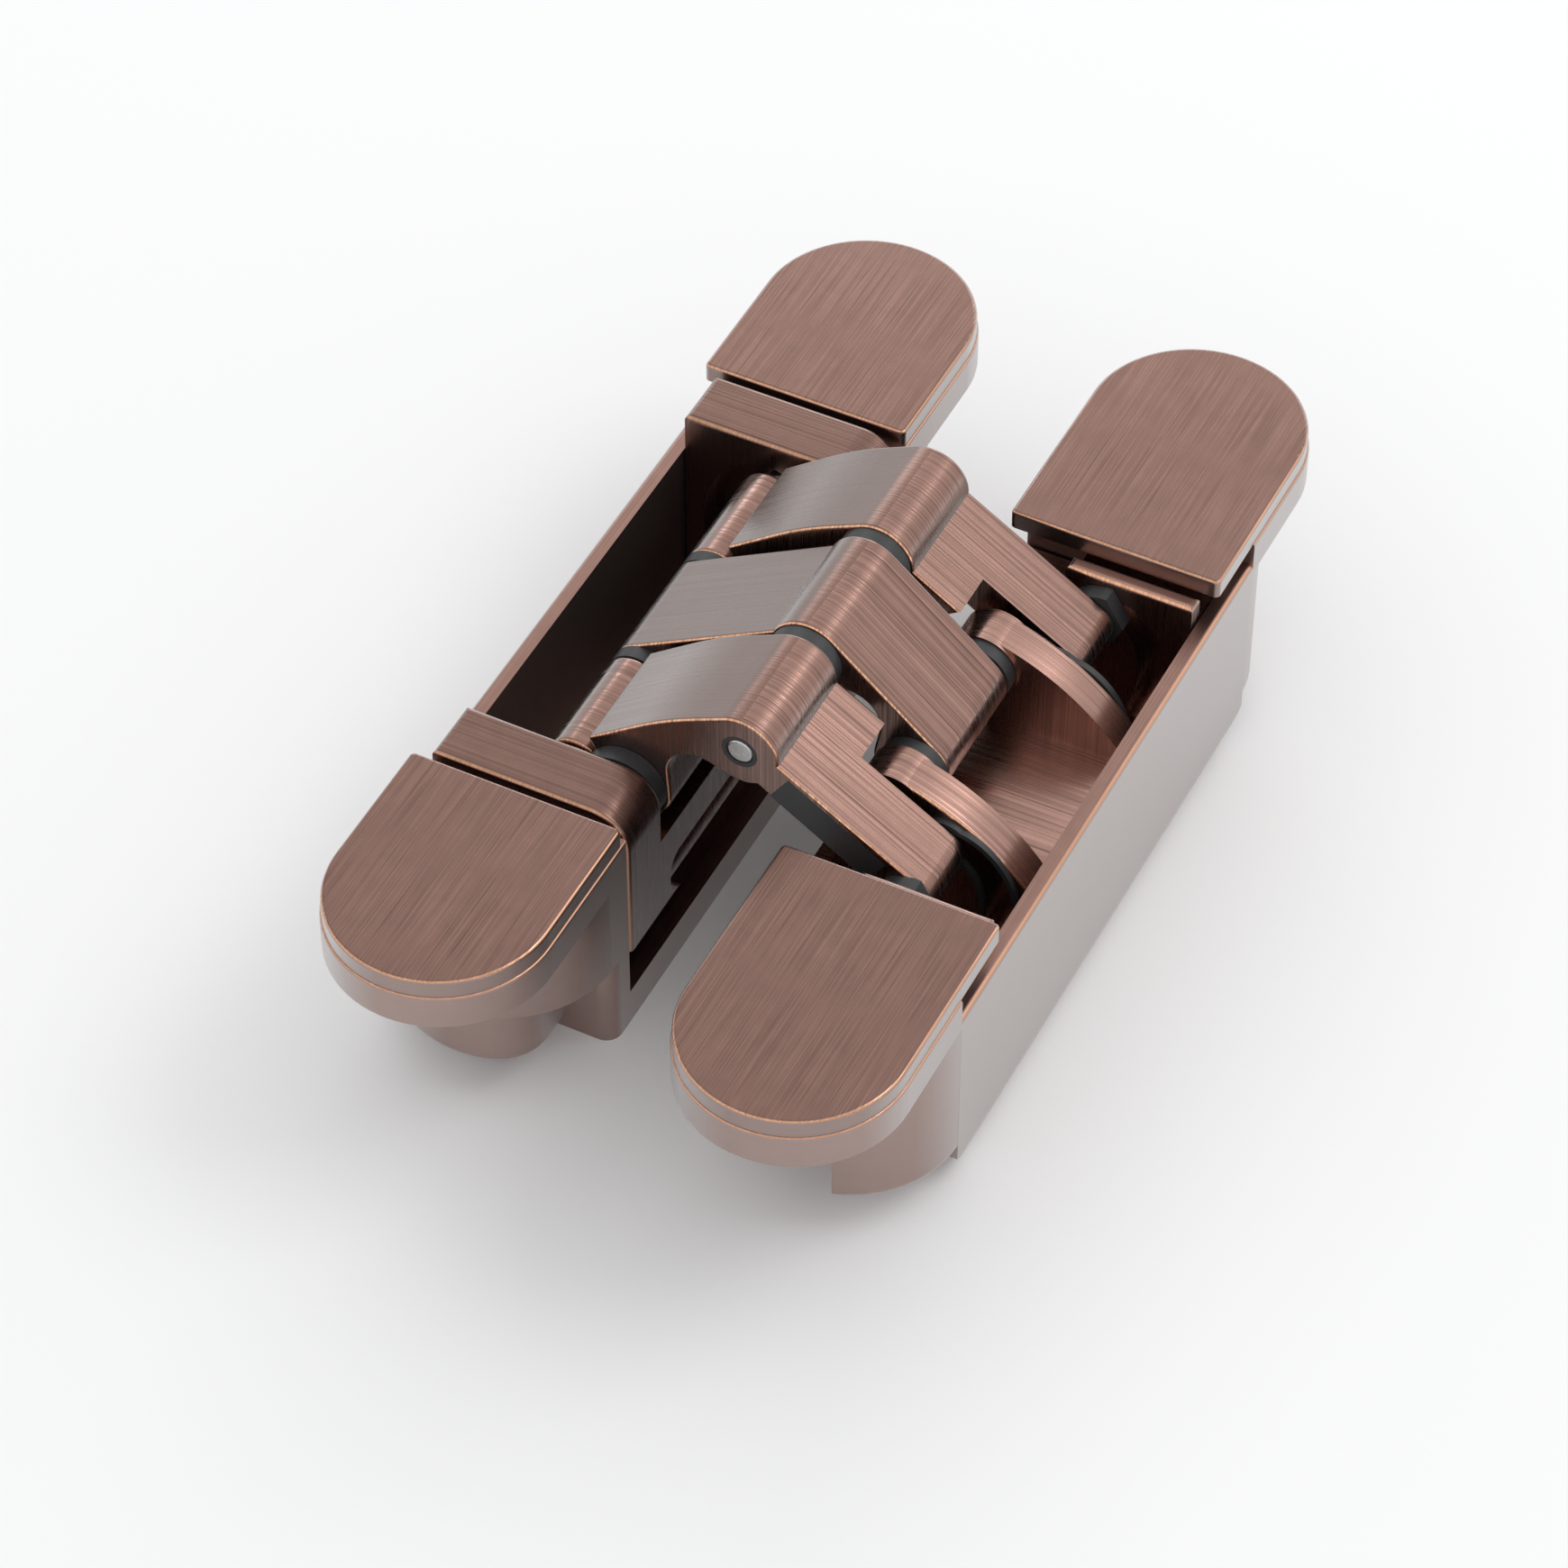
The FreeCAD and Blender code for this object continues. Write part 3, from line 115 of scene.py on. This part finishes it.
def makeFaceEdges():
    group = bpy.data.node_groups.new("facesAndEdges", "ShaderNodeTree")
    addSocket(group, "Along Axis", "INPUT", "NodeSocketFloat")
    addSocket(group, "Amount", "INPUT", "NodeSocketFloat")
    addSocket(group, "Face", "OUTPUT", "NodeSocketFloat")
    addSocket(group, "Edge", "OUTPUT", "NodeSocketFloat")
    inside = place(group, "NodeGroupInput", -900, 0)
    outside = place(group, "NodeGroupOutput", 500, 0)
    along = inside.outputs["Along Axis"]
    squared = maths(group, "MULTIPLY", -700, 0, along, along)
    face = maths(group, "GREATER_THAN", -500, 150, squared, edgeLook["faceFrom"])
    rest = maths(group, "SUBTRACT", -500, -50, 1.0, squared)
    both = maths(group, "MULTIPLY", -300, -50, squared, rest)
    steep = maths(group, "MULTIPLY_ADD", -150, -50, both, edgeLook["steepness"], edgeLook["offset"])
    held = place(group, "ShaderNodeClamp", 0, -50)
    group.links.new(steep, held.inputs["Value"])
    edge = maths(group, "MULTIPLY", 200, -50, held.outputs["Result"], inside.outputs["Amount"])
    group.links.new(face, outside.inputs["Face"])
    group.links.new(edge, outside.inputs["Edge"])
    return group


# Fine grain: the tone and the roughness rise with it
grainLook = {"detail": 2.0, "bump": 0.12, "bumpDepth": 0.00002}


def makeGrain():
    group = bpy.data.node_groups.new("fineGrain", "ShaderNodeTree")
    addSocket(group, "Coordinates", "INPUT", "NodeSocketVector")
    addSocket(group, "Scale", "INPUT", "NodeSocketFloat")
    addSocket(group, "Dark", "INPUT", "NodeSocketColor")
    addSocket(group, "Light", "INPUT", "NodeSocketColor")
    addSocket(group, "Smoothest", "INPUT", "NodeSocketFloat")
    addSocket(group, "Spread", "INPUT", "NodeSocketFloat")
    addSocket(group, "Colour", "OUTPUT", "NodeSocketColor")
    addSocket(group, "Roughness", "OUTPUT", "NodeSocketFloat")
    addSocket(group, "Height", "OUTPUT", "NodeSocketFloat")
    inside = place(group, "NodeGroupInput", -700, 0)
    outside = place(group, "NodeGroupOutput", 200, 0)
    noise = place(group, "ShaderNodeTexNoise", -450, 0)
    noise.inputs["Detail"].default_value = grainLook["detail"]
    group.links.new(inside.outputs["Coordinates"], noise.inputs["Vector"])
    group.links.new(inside.outputs["Scale"], noise.inputs["Scale"])
    grain = noise.outputs["Fac"]
    tone = mixColours(group, -150, 150, grain, inside.outputs["Dark"], inside.outputs["Light"])
    spread, smoothest = inside.outputs["Spread"], inside.outputs["Smoothest"]
    rough = maths(group, "MULTIPLY_ADD", -150, -100, grain, spread, smoothest)
    group.links.new(tone, outside.inputs["Colour"])
    group.links.new(rough, outside.inputs["Roughness"])
    group.links.new(grain, outside.inputs["Height"])
    return group


streaks = makeStreaks()
facesAndEdges = makeFaceEdges()
fineGrain = makeGrain()
print("streaks, edges and grain built")


# Which coordinates run across the brush
brushWays = {
    "Y": (True, False, True),
    "round": (False, False, True),
    "bend": (False, True, False),
    "upright": (True, False, False),
}


def stretch(tree, vector, finish, way, y):
    mapping = place(tree, "ShaderNodeMapping", -1150, y)
    mapping.inputs["Scale"].default_value = [
        finish["across"] if isAcross else finish["along"] for isAcross in brushWays[way]
    ]
    tree.links.new(vector, mapping.inputs["Vector"])
    return mapping.outputs["Vector"]


# Antique copper, brushed after casting
copper = {
    "base": (0.215, 0.130, 0.106),
    "pink": (0.262, 0.152, 0.126),
    "patchScale": 420,
    "patchDetail": 1.0,
    # The edge colour is a painted highlight for the rounded edges.
    "edge": (0.96, 0.52, 0.32),
    # The pale colour and the next three numbers make a painted sheen: a pale reflection mixed into the colour
    # at glancing angles.
    "paintedSheen": (0.55, 0.52, 0.51),
    "paintedSheenBlend": 0.5,
    "paintedSheenStart": 0.33,
    "paintedSheenRise": 2.3,
    "streakGloss": -0.25,
    "edgeGloss": -0.1,
    "bumpDepth": 0.00002,
}


def makeCopper(name, finish):
    material = bpy.data.materials.new(name)
    material.use_nodes = True
    tree = material.node_tree
    shader = tree.nodes["Principled BSDF"]
    shader.location = (1300, 0)
    tree.nodes["Material Output"].location = (1600, 0)
    shader.inputs["Metallic"].default_value = 1.0
    coordinates = place(tree, "ShaderNodeTexCoord", -1400, 0)

    # Faces and edges. Where the faces look up, an underside gets no painted edge highlight.
    facing = place(tree, "ShaderNodeSeparateXYZ", -1150, -350)
    tree.links.new(coordinates.outputs["Normal"], facing.inputs["Vector"])
    edges = place(tree, "ShaderNodeGroup", -900, -350, node_tree=facesAndEdges)
    edges.inputs["Amount"].default_value = finish["edge"]
    along = facing.outputs[finish["axis"]]
    if finish["axis"] == "Z":
        along = maths(tree, "MAXIMUM", -1020, -350, along, 0.0)
    tree.links.new(along, edges.inputs["Along Axis"])

    # Streaks, on a side and on a face
    chosen = place(tree, "ShaderNodeMix", -700, 100, data_type="VECTOR")
    tree.links.new(edges.outputs["Face"], chosen.inputs[0])
    onSide = stretch(tree, coordinates.outputs["Object"], finish, finish["side"], -50)
    onFace = stretch(tree, coordinates.outputs["Object"], finish, finish["face"], 300)
    tree.links.new(onSide, chosen.inputs[4])
    tree.links.new(onFace, chosen.inputs[5])
    lines = place(tree, "ShaderNodeGroup", -450, 100, node_tree=streaks)
    gap = finish["faceContrast"] - finish["sideContrast"]
    contrast = maths(tree, "MULTIPLY_ADD", -650, -150, edges.outputs["Face"], gap, finish["sideContrast"])
    tree.links.new(contrast, lines.inputs["Contrast"])
    tree.links.new(chosen.outputs[1], lines.inputs["Stretched"])

    # Colour: pinkish patches, the streaks, a painted highlight on the rounded edges, and a paler painted
    # reflection at a glancing angle and on the sides
    patches = place(tree, "ShaderNodeTexNoise", -450, 450)
    patches.inputs["Scale"].default_value = copper["patchScale"]
    patches.inputs["Detail"].default_value = copper["patchDetail"]
    tree.links.new(coordinates.outputs["Object"], patches.inputs["Vector"])
    ground = mixColours(tree, -200, 450, patches.outputs["Fac"], copper["base"], copper["pink"])
    turn = finish["tone"] - finish["sideTone"]
    toned = maths(tree, "MULTIPLY_ADD", -200, 250, edges.outputs["Face"], turn, finish["sideTone"])
    weight = maths(tree, "MULTIPLY", 0, 250, toned, lines.outputs["Tone"])
    streaked = place(tree, "ShaderNodeVectorMath", 150, 400, operation="SCALE")
    tree.links.new(ground, streaked.inputs[0])
    tree.links.new(weight, streaked.inputs["Scale"])
    # Painted highlight: rounded edges are mixed towards a bright golden colour, streaked like the rest.
    paintedEdgeHighlight = place(tree, "ShaderNodeVectorMath", 150, 200, operation="SCALE")
    paintedEdgeHighlight.inputs[0].default_value = copper["edge"]
    tree.links.new(lines.outputs["Tone"], paintedEdgeHighlight.inputs["Scale"])
    withEdgeHighlight = mixColours(tree, 400, 350, edges.outputs["Edge"], streaked.outputs[0], paintedEdgeHighlight.outputs[0])
    # Painted reflection: pale grey is mixed in where a surface is seen at a glancing angle.
    sheenFacing = place(tree, "ShaderNodeLayerWeight", 50, 700)
    sheenFacing.inputs["Blend"].default_value = copper["paintedSheenBlend"]
    late = maths(tree, "SUBTRACT", 250, 700, sheenFacing.outputs["Facing"], copper["paintedSheenStart"])
    steep = maths(tree, "MULTIPLY", 400, 700, late, copper["paintedSheenRise"])
    paintedSheenMask = place(tree, "ShaderNodeClamp", 550, 700)
    tree.links.new(steep, paintedSheenMask.inputs["Value"])
    # The sides are mixed towards the same pale grey, a painted reflection.
    sidePaintedSheen = finish["sidePaintedSheen"]
    sideSheenMask = maths(tree, "MULTIPLY_ADD", 550, 550, edges.outputs["Face"], -sidePaintedSheen, sidePaintedSheen)
    paintedSheenWeight = maths(tree, "MAXIMUM", 700, 600, paintedSheenMask.outputs["Result"], sideSheenMask)
    paintedSheenColour = tuple(channel * finish["paintedSheen"] for channel in copper["paintedSheen"])
    withPaintedSheen = mixColours(tree, 900, 350, paintedSheenWeight, withEdgeHighlight, paintedSheenColour)
    tree.links.new(withPaintedSheen, shader.inputs["Base Color"])

    # Gloss and relief
    swing = maths(tree, "SUBTRACT", 300, 0, lines.outputs["Tone"], 1.0)
    uneven = maths(tree, "MULTIPLY_ADD", 500, 0, swing, copper["streakGloss"], finish["roughness"])
    rough = maths(tree, "MULTIPLY_ADD", 700, 0, edges.outputs["Edge"], copper["edgeGloss"], uneven)
    tree.links.new(rough, shader.inputs["Roughness"])
    bump = place(tree, "ShaderNodeBump", 700, -250)
    bump.inputs["Strength"].default_value = finish["bump"]
    bump.inputs["Distance"].default_value = copper["bumpDepth"]
    tree.links.new(lines.outputs["Height"], bump.inputs["Height"])
    tree.links.new(bump.outputs["Normal"], shader.inputs["Normal"])
    return material


def makeGrained(name, finish):
    material = bpy.data.materials.new(name)
    material.use_nodes = True
    tree = material.node_tree
    shader = tree.nodes["Principled BSDF"]
    shader.inputs["Metallic"].default_value = finish["metallic"]
    coordinates = place(tree, "ShaderNodeTexCoord", -900, 0)
    grain = place(tree, "ShaderNodeGroup", -650, 0, node_tree=fineGrain)
    grain.inputs["Scale"].default_value = finish["scale"]
    grain.inputs["Dark"].default_value = (*finish["dark"], 1)
    grain.inputs["Light"].default_value = (*finish["light"], 1)
    grain.inputs["Smoothest"].default_value = finish["roughness"] - finish["spread"] / 2
    grain.inputs["Spread"].default_value = finish["spread"]
    tree.links.new(coordinates.outputs["Object"], grain.inputs["Coordinates"])
    tree.links.new(grain.outputs["Colour"], shader.inputs["Base Color"])
    tree.links.new(grain.outputs["Roughness"], shader.inputs["Roughness"])
    bump = place(tree, "ShaderNodeBump", -350, -250)
    bump.inputs["Strength"].default_value = grainLook["bump"]
    bump.inputs["Distance"].default_value = grainLook["bumpDepth"]
    tree.links.new(grain.outputs["Height"], bump.inputs["Height"])
    tree.links.new(bump.outputs["Normal"], shader.inputs["Normal"])
    return material


# Finishes of the copper. Faces look along the axis, and everything else is a side. Streaks are counted to the
# metre, across the brush and along it.
# In each finish the edge amount weights the painted edge highlight and the edge gloss, and the side and
# glancing sheen amounts weight the painted pale reflection.
capFinish = {
    "axis": "Z", "face": "Y", "side": "round", "across": 6000, "along": 70,
    "faceContrast": 0.44, "sideContrast": 0.1, "tone": 0.99, "sideTone": 1.1, "sidePaintedSheen": 0.3,
    "roughness": 0.3, "bump": 0.35, "edge": 0.7, "paintedSheen": 1.0,
}
capCopper = makeCopper("capCopper", capFinish)

casingFinish = {
    "axis": "Z", "face": "Y", "side": "round", "across": 5600, "along": 30,
    "faceContrast": 0.25, "sideContrast": 0.05, "tone": 1.15, "sideTone": 1.35, "sidePaintedSheen": 0.31,
    "roughness": 0.36, "bump": 0.08, "edge": 0.6, "paintedSheen": 1.0,
}
casingCopper = makeCopper("casingCopper", casingFinish)

blockFinish = {
    "axis": "Y", "face": "upright", "side": "bend", "across": 5000, "along": 25,
    "faceContrast": 0.3, "sideContrast": 0.42, "tone": 0.84, "sideTone": 0.84, "sidePaintedSheen": 0.0,
    "roughness": 0.3, "bump": 0.6, "edge": 0.5, "paintedSheen": 0.9,
}
blockCopper = makeCopper("blockCopper", blockFinish)

ribFinish = {
    "axis": "Y", "face": "upright", "side": "bend", "across": 4400, "along": 25,
    "faceContrast": 0.35, "sideContrast": 0.6, "tone": 1.62, "sideTone": 1.62, "sidePaintedSheen": 0.0,
    "roughness": 0.29, "bump": 0.8, "edge": 0.9, "paintedSheen": 0.9,
}
ribCopper = makeCopper("ribCopper", ribFinish)

roofFinish = {
    "axis": "Y", "face": "upright", "side": "bend", "across": 5000, "along": 25,
    "faceContrast": 0.7, "sideContrast": 0.34, "tone": 1.05, "sideTone": 0.92, "sidePaintedSheen": 0.0,
    "roughness": 0.29, "bump": 0.9, "edge": 0.9, "paintedSheen": 0.82,
}
roofCopper = makeCopper("roofCopper", roofFinish)

slopeFinish = {
    "axis": "Y", "face": "upright", "side": "bend", "across": 4200, "along": 22,
    "faceContrast": 0.7, "sideContrast": 0.75, "tone": 1.1, "sideTone": 1.28, "sidePaintedSheen": 0.0,
    "roughness": 0.28, "bump": 0.9, "edge": 0.9, "paintedSheen": 0.9,
}
slopeCopper = makeCopper("slopeCopper", slopeFinish)

sleeveFinish = {
    "axis": "Y", "face": "upright", "side": "bend", "across": 4400, "along": 22,
    "faceContrast": 0.5, "sideContrast": 0.6, "tone": 1.2, "sideTone": 1.2, "sidePaintedSheen": 0.0,
    "roughness": 0.24, "bump": 0.9, "edge": 0.7, "paintedSheen": 0.9,
}
sleeveCopper = makeCopper("sleeveCopper", sleeveFinish)

# Plain finishes with a fine grain
plastic = {
    "dark": (0.020, 0.021, 0.023), "light": (0.034, 0.035, 0.038), "metallic": 0.0,
    "roughness": 0.42, "spread": 0.15, "scale": 5200,
}
darkPlastic = makeGrained("darkPlastic", plastic)

steel = {
    "dark": (0.42, 0.42, 0.42), "light": (0.80, 0.80, 0.79), "metallic": 1.0,
    "roughness": 0.24, "spread": 0.2, "scale": 5000,
}
turnedSteel = makeGrained("turnedSteel", steel)
print("materials built")


# The door casing again, with the lower edge at each end of its deep part bevelled
deepEnds = {"start": 0.0354, "height": 0.003, "reach": 0.005, "margin": 0.00001}


def isUnderEnd(vertex):
    return abs(vertex.co.y) > deepEnds["start"] and vertex.co.z < deepEnds["height"] - deepEnds["margin"]


def bevelDeepEnds(name, body):
    casing = bpy.data.objects.new("bevelledCasing", nodes[name].data.copy())
    bpy.context.scene.collection.objects.link(casing)
    shape = bmesh.new()
    shape.from_mesh(casing.data)
    faces = [face for face in shape.faces if any(isUnderEnd(vertex) for vertex in face.verts)]
    edges = dict.fromkeys(edge for face in faces for edge in face.edges)
    corners = dict.fromkeys(vertex for face in faces for vertex in face.verts)
    geometry = [*faces, *edges, *corners]
    bmesh.ops.bisect_plane(shape, geom=geometry, plane_co=(0, 0, deepEnds["height"]), plane_no=(0, 0, 1))
    for vertex in shape.verts:
        if isUnderEnd(vertex):
            inset = deepEnds["reach"] * (1 - vertex.co.z / deepEnds["height"])
            vertex.co.y -= math.copysign(inset, vertex.co.y)
    shape.to_mesh(casing.data)
    shape.free()
    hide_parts(name)
    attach(casing, body)
    return casing


# Edges sharper than this keep a crease, in degrees. An arm's two sides meet over the centre pin.
sharpAngle = 32
centrePinX = 0.0005


def dressMesh(mesh, material):
    mesh.materials.clear()
    mesh.materials.append(material)
    for face in mesh.polygons:
        face.use_smooth = True
    mesh.set_sharp_from_angle(angle=math.radians(sharpAngle))


def dress(name, material):
    dressMesh(nodes[name].data, material)


# Roof plate on one side of the centre pin, leg or second plate on the other
def dressArm(name):
    dress(name, roofCopper)
    mesh = nodes[name].data
    mesh.materials.append(slopeCopper)
    for face in mesh.polygons:
        if face.center.x > centrePinX:
            face.material_index = 1


dress("frame_casing", casingCopper)
doorCasing = bevelDeepEnds("door_casing", "door")
dressMesh(doorCasing.data, casingCopper)
dress("frame_carrier", blockCopper)
dress("door_carrier", ribCopper)
dressArm("arm_b")
for pin in ("centre_pin", "slide_pin", "door_pin"):
    dress(pin, turnedSteel)
for end in ends:
    dress("frame_cap_" + end, capCopper)
    dress("door_cap_" + end, capCopper)
    dress("frame_adjuster_" + end, turnedSteel)
    dress("door_adjuster_" + end, turnedSteel)
    dressArm("arm_a_" + end)
    dress("slide_sleeve_" + end, sleeveCopper)
    for pin in ("frame_pin_", "leg_pin_"):
        dress(pin + end, turnedSteel)
    for piece in ("frame_washer_", "centre_washer_", "door_washer_", "slide_washer_", "centre_bush_"):
        dress(piece + end, darkPlastic)
    for piece in ("leg_strip_", "leg_shoe_", "rib_liner_"):
        dress(piece + end, darkPlastic)
print("nodes dressed")


# Pale paper under the hinge
paper = {"size": 6.0, "colour": (0.945, 0.95, 0.955), "roughness": 0.9, "specular": 0.1}


def makeFloor():
    half = paper["size"] / 2
    mesh = bpy.data.meshes.new("floor")
    corners = [(-half, -half, 0), (half, -half, 0), (half, half, 0), (-half, half, 0)]
    mesh.from_pydata(corners, [], [(0, 1, 2, 3)])
    floor = bpy.data.objects.new("floor", mesh)
    bpy.context.scene.collection.objects.link(floor)
    material = bpy.data.materials.new("floorPaper")
    material.use_nodes = True
    shader = material.node_tree.nodes["Principled BSDF"]
    shader.inputs["Base Color"].default_value = (*paper["colour"], 1)
    shader.inputs["Roughness"].default_value = paper["roughness"]
    shader.inputs["Specular IOR Level"].default_value = paper["specular"]
    mesh.materials.append(material)


# Plain sky, whose light changes a little along its axis
sky = {
    "axis": (0.15, 0.72, 0.68),
    "levels": ((0.0, 0.86), (0.35, 0.84), (0.7, 0.79), (0.95, 0.94)),
}


def makeSky():
    world = bpy.data.worlds.new("studioSky")
    bpy.context.scene.world = world
    world.use_nodes = True
    tree = world.node_tree
    background = tree.nodes["Background"]
    coordinates = place(tree, "ShaderNodeTexCoord", -1100, 0)
    towards = place(tree, "ShaderNodeVectorMath", -900, 0, operation="DOT_PRODUCT")
    towards.inputs[1].default_value = sky["axis"]
    tree.links.new(coordinates.outputs["Generated"], towards.inputs[0])
    height = maths(tree, "MULTIPLY_ADD", -700, 0, towards.outputs["Value"], 0.5, 0.5)
    ramp = place(tree, "ShaderNodeValToRGB", -500, 0)
    while len(ramp.color_ramp.elements) < len(sky["levels"]):
        ramp.color_ramp.elements.new(0.5)
    for element, (position, level) in zip(ramp.color_ramp.elements, sky["levels"]):
        element.position = position
        element.color = (level, level, level, 1)
    tree.links.new(height, ramp.inputs["Fac"])
    tree.links.new(ramp.outputs["Color"], background.inputs["Color"])


def aim(thing, target):
    thing.rotation_euler = (Vector(target) - thing.location).to_track_quat("-Z", "Y").to_euler()


# Soft boxes, aimed at the middle of the hinge: place, size, strength in watts
lampTarget = (0, 0, 0.02)
lamps = {
    "keyBox": {"place": (0.75, 0.50, 1.15), "size": (0.8, 0.6), "power": 3.4},
    "backBox": {"place": (-0.50, 1.15, 0.72), "size": (1.0, 0.4), "power": 2.4},
}


def makeLamp(name, lamp):
    data = bpy.data.lights.new(name, "AREA")
    data.shape = "RECTANGLE"
    data.size, data.size_y = lamp["size"]
    data.energy = lamp["power"]
    thing = bpy.data.objects.new(name, data)
    bpy.context.scene.collection.objects.link(thing)
    thing.location = lamp["place"]
    aim(thing, lampTarget)


# The camera looks down on the opened hinge from its near right corner
camera = {
    "target": (0.00407, -0.01933, 0.0295),
    "azimuth": 26.82,
    "elevation": 46.91,
    "distance": 0.57447,
    "lens": 131.33,
    "sensor": 36.0,
}


def makeCamera():
    data = bpy.data.cameras.new("camera")
    data.lens = camera["lens"]
    data.sensor_width = camera["sensor"]
    thing = bpy.data.objects.new("camera", data)
    bpy.context.scene.collection.objects.link(thing)
    azimuth, elevation = math.radians(camera["azimuth"]), math.radians(camera["elevation"])
    back = Vector((
        math.sin(azimuth) * math.cos(elevation),
        -math.cos(azimuth) * math.cos(elevation),
        math.sin(elevation),
    ))
    thing.location = Vector(camera["target"]) + back * camera["distance"]
    aim(thing, camera["target"])
    bpy.context.scene.camera = thing


makeFloor()
makeSky()
for name, lamp in lamps.items():
    makeLamp(name, lamp)
makeCamera()
bpy.context.scene.view_settings.view_transform = "Standard"
print("studio built")
